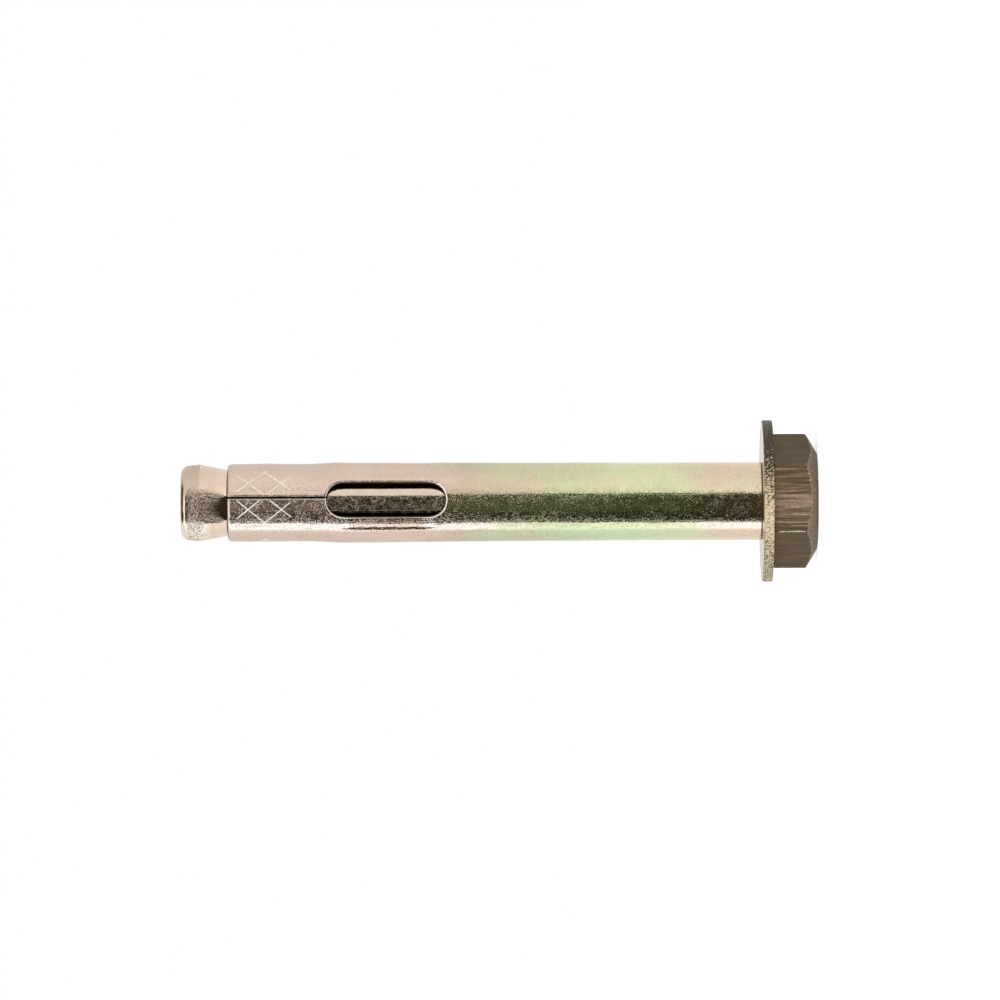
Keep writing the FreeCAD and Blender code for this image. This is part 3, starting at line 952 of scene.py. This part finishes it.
def flat_washer():
    """A closed section turned round the axis: flat faces, a rounded edge on the die's side, and a
    rim whose lower half is pushed in by grainy noise where the steel tore."""
    sizes = settings().washer
    low, high = WASHER_LOW.z / MM, WASHER_HIGH.z / MM
    rim, hole = WASHER_HIGH.x / MM, sizes.hole / MM
    hole_edge, columns = 0.1, 420
    angle = np.linspace(0, 2 * np.pi, columns, endpoint=False)[None, :]
    corners = [(hole, low), (rim, low), (rim, high), (hole, high), (hole, low)]
    setbacks = [0.12, sizes.sheared_edge / MM, sizes.rolled_edge / MM, 0.15, 0]
    section = rounded(np.array(corners, float)[:, None, :], setbacks, 6)
    section[0] = section[0] + [hole_edge, 0]
    section[-1] = section[-1] + [0, hole_edge]
    outer = np.flatnonzero((section[:-1, 0, 0] > rim - 0.01) & (section[1:, 0, 0] > rim - 0.01))
    longest = outer[np.argmax(np.diff(section[:, 0, 1])[outer])]
    section = filled(section, longest, 14)
    r, z = section[..., 0], section[..., 1]
    grain = soft_noise(len(section), columns, 1, 5)
    slow = soft_noise(len(section), columns, 14, 6, 3)
    close, smooth_part, tear_end, tear_depth, pushed_in = 0.05, 0.55, 0.35, 0.05, 0.012
    on_rim = np.clip((r - rim + close) / close, 0, 1)
    torn = ease((high - smooth_part + 0.25 * slow - z) / tear_end)
    r = r - on_rim * (pushed_in + tear_depth * torn * (0.5 + 0.5 * grain))
    faces = cells(len(section), columns, ring=True, loop=True)
    return new_piece("flat_washer", [(polar(r, angle, z), faces)], sharp=50)


def hexagon_columns():
    """The hexagon's outline by angle. A flat at distance h has radius h / cos(t) away from its
    middle, and each corner is an arc of a small circle that touches both flats."""
    sizes = settings().nut
    flat, small = sizes.across_flats / MM / 2, sizes.corner / MM
    half = (flat - small) * math.tan(math.pi / 6)
    along = np.linspace(-half, half, 57)
    centre = (flat - small) / math.cos(math.pi / 6)
    turn = np.linspace(-np.pi / 6, np.pi / 6, 9)[1:-1]
    x, y = centre + small * np.cos(turn), small * np.sin(turn)
    angle = np.concatenate([np.arctan2(along, flat), np.arctan2(y, x) + np.pi / 6])
    radius = np.concatenate([np.hypot(along, flat), np.hypot(x, y)])
    at_corner = np.repeat([0.0, 1.0], [len(along), len(turn)])
    turns = np.arange(6)[:, None] * np.pi / 3
    angles = (angle[None, :] + turns).ravel() + sizes.turn
    return angles, np.tile(radius, 6), np.tile(at_corner, 6)


def hexagon_nut():
    """The hexagon as a closed section for every angle: the end face, the chamfer where the cone
    z = (r - R) tan 30 meets the outline, the side, the broken upper edge, the bearing face and the
    countersunk bore, whose thread follows the stud's own formula one clearance outside it."""
    sizes, stud = settings().nut, settings().stud
    end, boss = sizes.end_face / MM / 2, sizes.boss / MM / 2
    tall, total = sizes.hexagon_height / MM, NUT_HIGH.z / MM
    clearance, sink_depth, trim_depth, ragged_depth = 0.05, 0.5, 0.012, 0.03
    root_depth, crest_cut = 0.73, 0.035
    bore = stud.thread_radius / MM + clearance
    sink = bore + sink_depth
    angles, outline, at_corner = hexagon_columns()
    columns = len(angles)
    marks = soft_noise(1, columns, 1, 21)[0]
    outline = outline - trim_depth * (1 + marks) * (1 - at_corner)
    slope = math.tan(CHAMFER_ANGLE)
    chamfer = (outline - end) * slope
    corner_radius = sizes.across_flats / MM / 2 / math.cos(math.pi / 6)
    upper_break = np.maximum(0.05, (outline - corner_radius + 0.2 / slope) * slope)
    stations = [
        (bore, sink_depth, 0),
        (sink, 0, 0.08),
        (end, 0, 0.15),
        (outline, chamfer, 0.14),
        (outline, tall - upper_break, 0.1),
        (outline - upper_break / slope * 0.9, tall, 0.1),
        (boss, tall, 0.05),
        (boss, total, 0.08),
        (sink, total, 0.08),
        (bore, total - sink_depth, 0),
    ]
    radii, heights, setbacks = zip(*stations)
    ones = np.ones(columns)
    corners = np.array([np.stack([r * ones, z * ones], -1) for r, z in zip(radii, heights)])
    section = rounded(corners, setbacks)
    rise = section[1:, :, 1].mean(1) - section[:-1, :, 1].mean(1)
    side = int(np.argmax(np.where(section[:-1, :, 0].mean(1) > boss + 0.3, rise, 0)))
    section = filled(section, side, 34)
    r, z = section[..., 0], section[..., 1]
    ragged = soft_noise(len(section), columns, 0, 31)
    on_side = (z > chamfer + 0.1) & (z < tall - upper_break - 0.1)
    r = r + np.where(on_side & (at_corner > 0), ragged_depth * ragged, 0)
    turn = angles[None, :]
    bore_z = np.linspace(total - sink_depth, sink_depth, 66)[1:-1, None]
    share = thread_share(bore_z, turn, stud.pitch / MM)
    lead = np.minimum(bore_z - sink_depth, total - sink_depth - bore_z)
    lead = np.clip(lead / sink_depth, 0, 1)
    bore_r = bore - lead * (root_depth * share - crest_cut * (1 - share))
    points = np.concatenate([polar(r, turn, z), polar(bore_r, turn, bore_z)])
    faces = cells(len(points), columns, ring=True, loop=True)
    return new_piece("hexagon_nut", [(points, faces)], sharp=28)


def corner_burrs():
    """Ragged threads of metal along four of the nut's corners: a small closed section carried up
    the corner, whose width and rise follow random noise and fade at both ends."""
    sizes = settings().nut
    corner = (sizes.across_flats / 2 - sizes.corner) / MM / math.cos(math.pi / 6)
    corner += sizes.corner / MM
    gap_below, gap_above, end_taper = 0.12, 0.35, 0.5
    thin, thicker, sunk, sway_wide = 0.05, 0.06, 0.03, 0.03
    low = (corner - sizes.end_face / MM / 2) * math.tan(CHAMFER_ANGLE) + gap_below
    high = sizes.hexagon_height / MM - gap_above
    rows, columns = 90, 8
    z = np.linspace(low, high, rows)[:, None]
    turn = np.linspace(0, 2 * np.pi, columns, endpoint=False)[None, :]
    ends = np.clip(np.minimum(z - low, high - z) / end_taper, 0, 1) ** 0.5
    faces = cells(rows, columns, ring=True)
    grids = []
    for number in (-1, 2, 3, 4):
        angle = sizes.turn + math.radians(30 + 60 * number)
        width = 0.5 + 0.5 * soft_noise(rows, 1, 0, 40 + number, 2)
        sway = soft_noise(rows, 1, 0, 50 + number, 5)
        size = (thin + thicker * width) * ends
        radius = corner - sunk + 0.6 * size * np.cos(turn)
        side = (size * np.sin(turn) * 1.3 + sway_wide * sway) / corner
        grids.append((polar(radius, angle + side, z), faces))
    return new_piece("corner_burrs", grids, sharp=60)


class ANCHOR_OT_sleeve(bpy.types.Operator):
    """Builds the rolled sleeve with its windows, slits and seam"""

    bl_idname = "anchor.sleeve"
    bl_label = "Rolled Sleeve"

    def execute(self, context):
        piece = rolled_sleeve()
        dress(piece, "sleeve", yellow_zinc_on_rolled_strip())
        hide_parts("expansion_sleeve")
        return {"FINISHED"}


class ANCHOR_OT_ribs(bpy.types.Operator):
    """Adds the raised lozenge pattern behind the sleeve's mouth"""

    bl_idname = "anchor.ribs"
    bl_label = "Lozenge Ribs"

    def execute(self, context):
        finish = bpy.data.materials.get("yellow_zinc_on_rolled_strip")
        if finish is None:
            raise RuntimeError("the rolled sleeve comes first")
        dress(lozenge_ribs(), "sleeve", finish)
        return {"FINISHED"}


class ANCHOR_OT_stud(bpy.types.Operator):
    """Builds the stud with its thread, shank and cone"""

    bl_idname = "anchor.stud"
    bl_label = "Threaded Stud"

    def execute(self, context):
        piece = threaded_stud()
        dress(piece, "stud", pitted_cold_formed_steel())
        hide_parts("anchor_stud")
        return {"FINISHED"}


class ANCHOR_OT_washer(bpy.types.Operator):
    """Builds the stamped washer"""

    bl_idname = "anchor.washer"
    bl_label = "Flat Washer"

    def execute(self, context):
        piece = flat_washer()
        dress(piece, "washer", stamped_zinc_plated_steel())
        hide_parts("washer")
        return {"FINISHED"}


class ANCHOR_OT_nut(bpy.types.Operator):
    """Builds the hexagon nut with its threaded bore"""

    bl_idname = "anchor.nut"
    bl_label = "Hexagon Nut"

    def execute(self, context):
        piece = hexagon_nut()
        dress(piece, "nut", trimmed_bronze_passivate())
        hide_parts("hex_nut")
        dress(corner_burrs(), "nut", bare_burr())
        return {"FINISHED"}


def dark_cloth():
    """The dark cards, as their own dim glow: darker low down and towards -X, so the metal shows a
    band that deepens towards the washer and towards its lower edge."""
    finish, tree = new_finish("dark_cloth")
    parts = add(tree, "SeparateXYZ", [millimetres(tree)])
    across, height = parts.outputs[0], parts.outputs[2]
    level = chain(
        tree, (height, -20, 105, 0.07, 0.15),
        ("MULTIPLY", (height, -8, 18, 0.28)),
        ("MULTIPLY", (across, -320, -235, 0.38)),
    )
    hue = settings().stage.flag
    for mask, shade in (((height, 42, 72), "#fff3e3"), ((height, -4, 18, 1, 0), "#ffe6b0")):
        hue = add(tree, "Mix", {0: mask, 6: hue, 7: linear(shade)}, data_type="RGBA")
    glow = add(tree, "Emission", {"Color": hue, "Strength": level})
    add(tree, "OutputMaterial", {"Surface": glow})
    return finish


def curved_card(name, start, end, radius, low, high):
    """A sheet bent round the axis between two angles and two heights, that looks inwards."""
    angle = np.linspace(end, start, 25)[None, :]
    height = np.linspace(low, high, 2)[:, None]
    return new_piece(name, [(polar(radius, angle, height), cells(2, 25))])


def floor_card(name, start, end, inner, outer):
    """A flat sector just over the floor, between two radii and two angles, that looks up."""
    angle = np.linspace(end, start, 25)[None, :]
    radius = np.linspace(inner, outer, 2)[:, None]
    return new_piece(name, [(polar(radius, angle, CARD_LIFT), cells(2, 25))])


def overhead_card(name, height, front, back, wide):
    """A flat rectangle over the anchor that looks down."""
    across = np.array([-wide, wide])[None, :]
    along = np.array([-front, back])[:, None]
    points = np.stack(np.broadcast_arrays(across, along, np.float64(height)), -1)
    return new_piece(name, [(points, cells(2, 2)[:, ::-1])])


def pale_floor():
    """A round floor on z = 0, a fan of rings. The camera and the metal see its own light and an
    even glow, white together, with the object's shadow left in, and it is clear from below."""
    columns, own_glow = 64, 0.62
    radius = np.array([0, 200, 900, 3000.0])[:, None]
    angle = np.linspace(2 * np.pi, 0, columns, endpoint=False)[None, :]
    faces = cells(len(radius), columns, ring=True)
    floor = new_piece("floor", [(polar(radius, angle, 0), faces)])
    finish, tree = new_finish("matt_white_paper")
    paper = {"Base Color": settings().stage.floor, "Roughness": 1, "Specular IOR Level": 0}
    paper = add(tree, "BsdfPrincipled", paper)
    rays = add(tree, "LightPath").outputs
    glow = chain(
        tree, rays["Is Camera Ray"],
        ("MAXIMUM", rays["Is Glossy Ray"]),
        ("MAXIMUM", rays["Is Transmission Ray"]),
        ("MULTIPLY", own_glow),
    )
    white = add(tree, "Emission", {"Color": (1, 1, 1), "Strength": glow})
    lit = add(tree, "AddShader", [paper, white])
    behind = add(tree, "NewGeometry").outputs["Backfacing"]
    mix = add(tree, "MixShader", [behind, lit, add(tree, "BsdfTransparent")])
    add(tree, "OutputMaterial", {"Surface": mix})
    floor.data.materials.append(finish)
    return floor


def area_light(name, degrees, distance, wide, tall, level, middle=0.05):
    """A flat lamp that faces the axis from a direction in degrees. Its power makes its surface as
    bright as the level says: power = level x pi x area."""
    lamp = bpy.data.lights.new(name, "AREA")
    lamp.shape = "RECTANGLE"
    lamp.size, lamp.size_y = wide, tall
    lamp.energy = level * math.pi * wide * tall
    light = bpy.data.objects.new(name, lamp)
    angle = math.radians(degrees)
    away, up = Vector((math.sin(angle), -math.cos(angle), 0)), Vector((0, 0, 1))
    light.matrix_world = Matrix.Translation(away * distance + up * middle) @ Matrix(
        (up.cross(away), up, away)
    ).transposed().to_4x4()
    bpy.context.scene.collection.objects.link(light)
    return light


def white_world():
    """A white surround for the camera and anything clear, a little less behind the anchor for the
    mirror-like metal, and less light for matt surfaces."""
    behind_anchor, for_matt = 0.78, 0.45
    world = bpy.data.worlds.new("white_world")
    world.use_nodes = True
    tree = world.node_tree
    tree.nodes.clear()
    rays = add(tree, "LightPath").outputs
    towards = add(tree, "SeparateXYZ", [add(tree, "TexCoord").outputs["Generated"]])
    level = chain(
        tree, rays["Is Glossy Ray"],
        ("MULTIPLY", (towards.outputs[1], -0.8, 0.9, 1, behind_anchor)),
        ("MAXIMUM", rays["Is Camera Ray"]),
        ("MAXIMUM", rays["Is Transmission Ray"]),
        ("MAXIMUM", for_matt),
    )
    back = add(tree, "Background", {"Color": (1, 1, 1), "Strength": level})
    add(tree, "OutputWorld", {"Surface": back})
    bpy.context.scene.world = world


def aimed_camera():
    """A camera level with the anchor's middle. It looks along +Y, +X is up in its picture and +Z
    is to the left."""
    stage = settings().stage
    data = bpy.data.cameras.new("camera")
    data.sensor_width = 36
    data.lens = data.sensor_width * stage.distance / stage.frame_width
    data.clip_start, data.clip_end = 0.1, 100
    forward = Vector((0, 1, 0))
    up = Vector((1, 0, 0))
    right = forward.cross(up)
    turn = Matrix.Rotation(stage.roll, 3, forward)
    aim = Vector((0.0003, 0, 0.046165))
    camera = bpy.data.objects.new("camera", data)
    axes = Matrix((turn @ right, turn @ up, -forward)).transposed().to_4x4()
    camera.matrix_world = Matrix.Translation(aim - forward * stage.distance) @ axes
    bpy.context.scene.collection.objects.link(camera)
    bpy.context.scene.camera = camera


class ANCHOR_OT_stage(bpy.types.Operator):
    """Sets up the floor, the dark flag, the lamps, the white surround and the camera"""

    bl_idname = "anchor.stage"
    bl_label = "Studio Stage"

    def execute(self, context):
        context.scene.view_settings.view_transform = "Standard"
        floor = pale_floor()
        start, end = math.radians(-64), math.radians(24.6)
        flag = curved_card("dark_flag", start, end, radius=600, low=-300, high=530)
        apron = floor_card("dark_apron", start, end, inner=50, outer=600)
        lid = overhead_card("dark_lid", height=1500, front=120, back=1200, wide=700)
        cloth = dark_cloth()
        for card in (flag, apron, lid):
            card.data.materials.append(cloth)
            card.visible_camera = False
            card.visible_shadow = False
            card.visible_diffuse = False
        strip = area_light("strip_light", -76, distance=0.6, wide=0.31, tall=2.2, level=0.46)
        strip.data.color = (0.97, 1.05, 1.14)
        end_light = area_light("end_light", 0, distance=1.2, wide=1.3, tall=0.85, level=0.7)
        for degrees, axis in ((-52, "X"), (-15, "Z")):
            lean = Matrix.Rotation(math.radians(degrees), 4, axis)
            end_light.matrix_world = lean @ end_light.matrix_world
        front = area_light("front_light", -5, distance=1.2, wide=0.8, tall=0.8, level=5.5)
        front.visible_glossy = False
        white_world()
        aimed_camera()
        return {"FINISHED"}


class ANCHOR_PT_panel(bpy.types.Panel):
    """Lists the anchor's pieces and its stage"""

    bl_idname = "ANCHOR_PT_panel"
    bl_label = "Sleeve Anchor"
    bl_space_type = "VIEW_3D"
    bl_region_type = "UI"
    bl_category = "Sleeve Anchor"

    def draw(self, context):
        for operator in OPERATORS:
            self.layout.operator(operator.bl_idname)
        for group in ("sleeve", "stud", "washer", "nut", "stage"):
            held = getattr(context.scene.sleeve_anchor, group)
            box = self.layout.box()
            box.label(text=group.capitalize())
            for name in held.bl_rna.properties.keys():
                if name not in ("rna_type", "name"):
                    box.prop(held, name)


OPERATORS = (
    ANCHOR_OT_sleeve,
    ANCHOR_OT_ribs,
    ANCHOR_OT_stud,
    ANCHOR_OT_washer,
    ANCHOR_OT_nut,
    ANCHOR_OT_stage,
)
CLASSES = (
    SleeveSettings,
    StudSettings,
    WasherSettings,
    NutSettings,
    StageSettings,
    AnchorSettings,
    *OPERATORS,
    ANCHOR_PT_panel,
)


def register():
    for kind in CLASSES:
        bpy.utils.register_class(kind)
    bpy.types.Scene.sleeve_anchor = PointerProperty(type=AnchorSettings)


def unregister():
    del bpy.types.Scene.sleeve_anchor
    for kind in reversed(CLASSES):
        bpy.utils.unregister_class(kind)


def main():
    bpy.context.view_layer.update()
    register()
    bpy.ops.anchor.sleeve()
    bpy.ops.anchor.ribs()
    bpy.ops.anchor.stud()
    bpy.ops.anchor.washer()
    bpy.ops.anchor.nut()
    bpy.ops.anchor.stage()


if __name__ == "__main__":
    main()
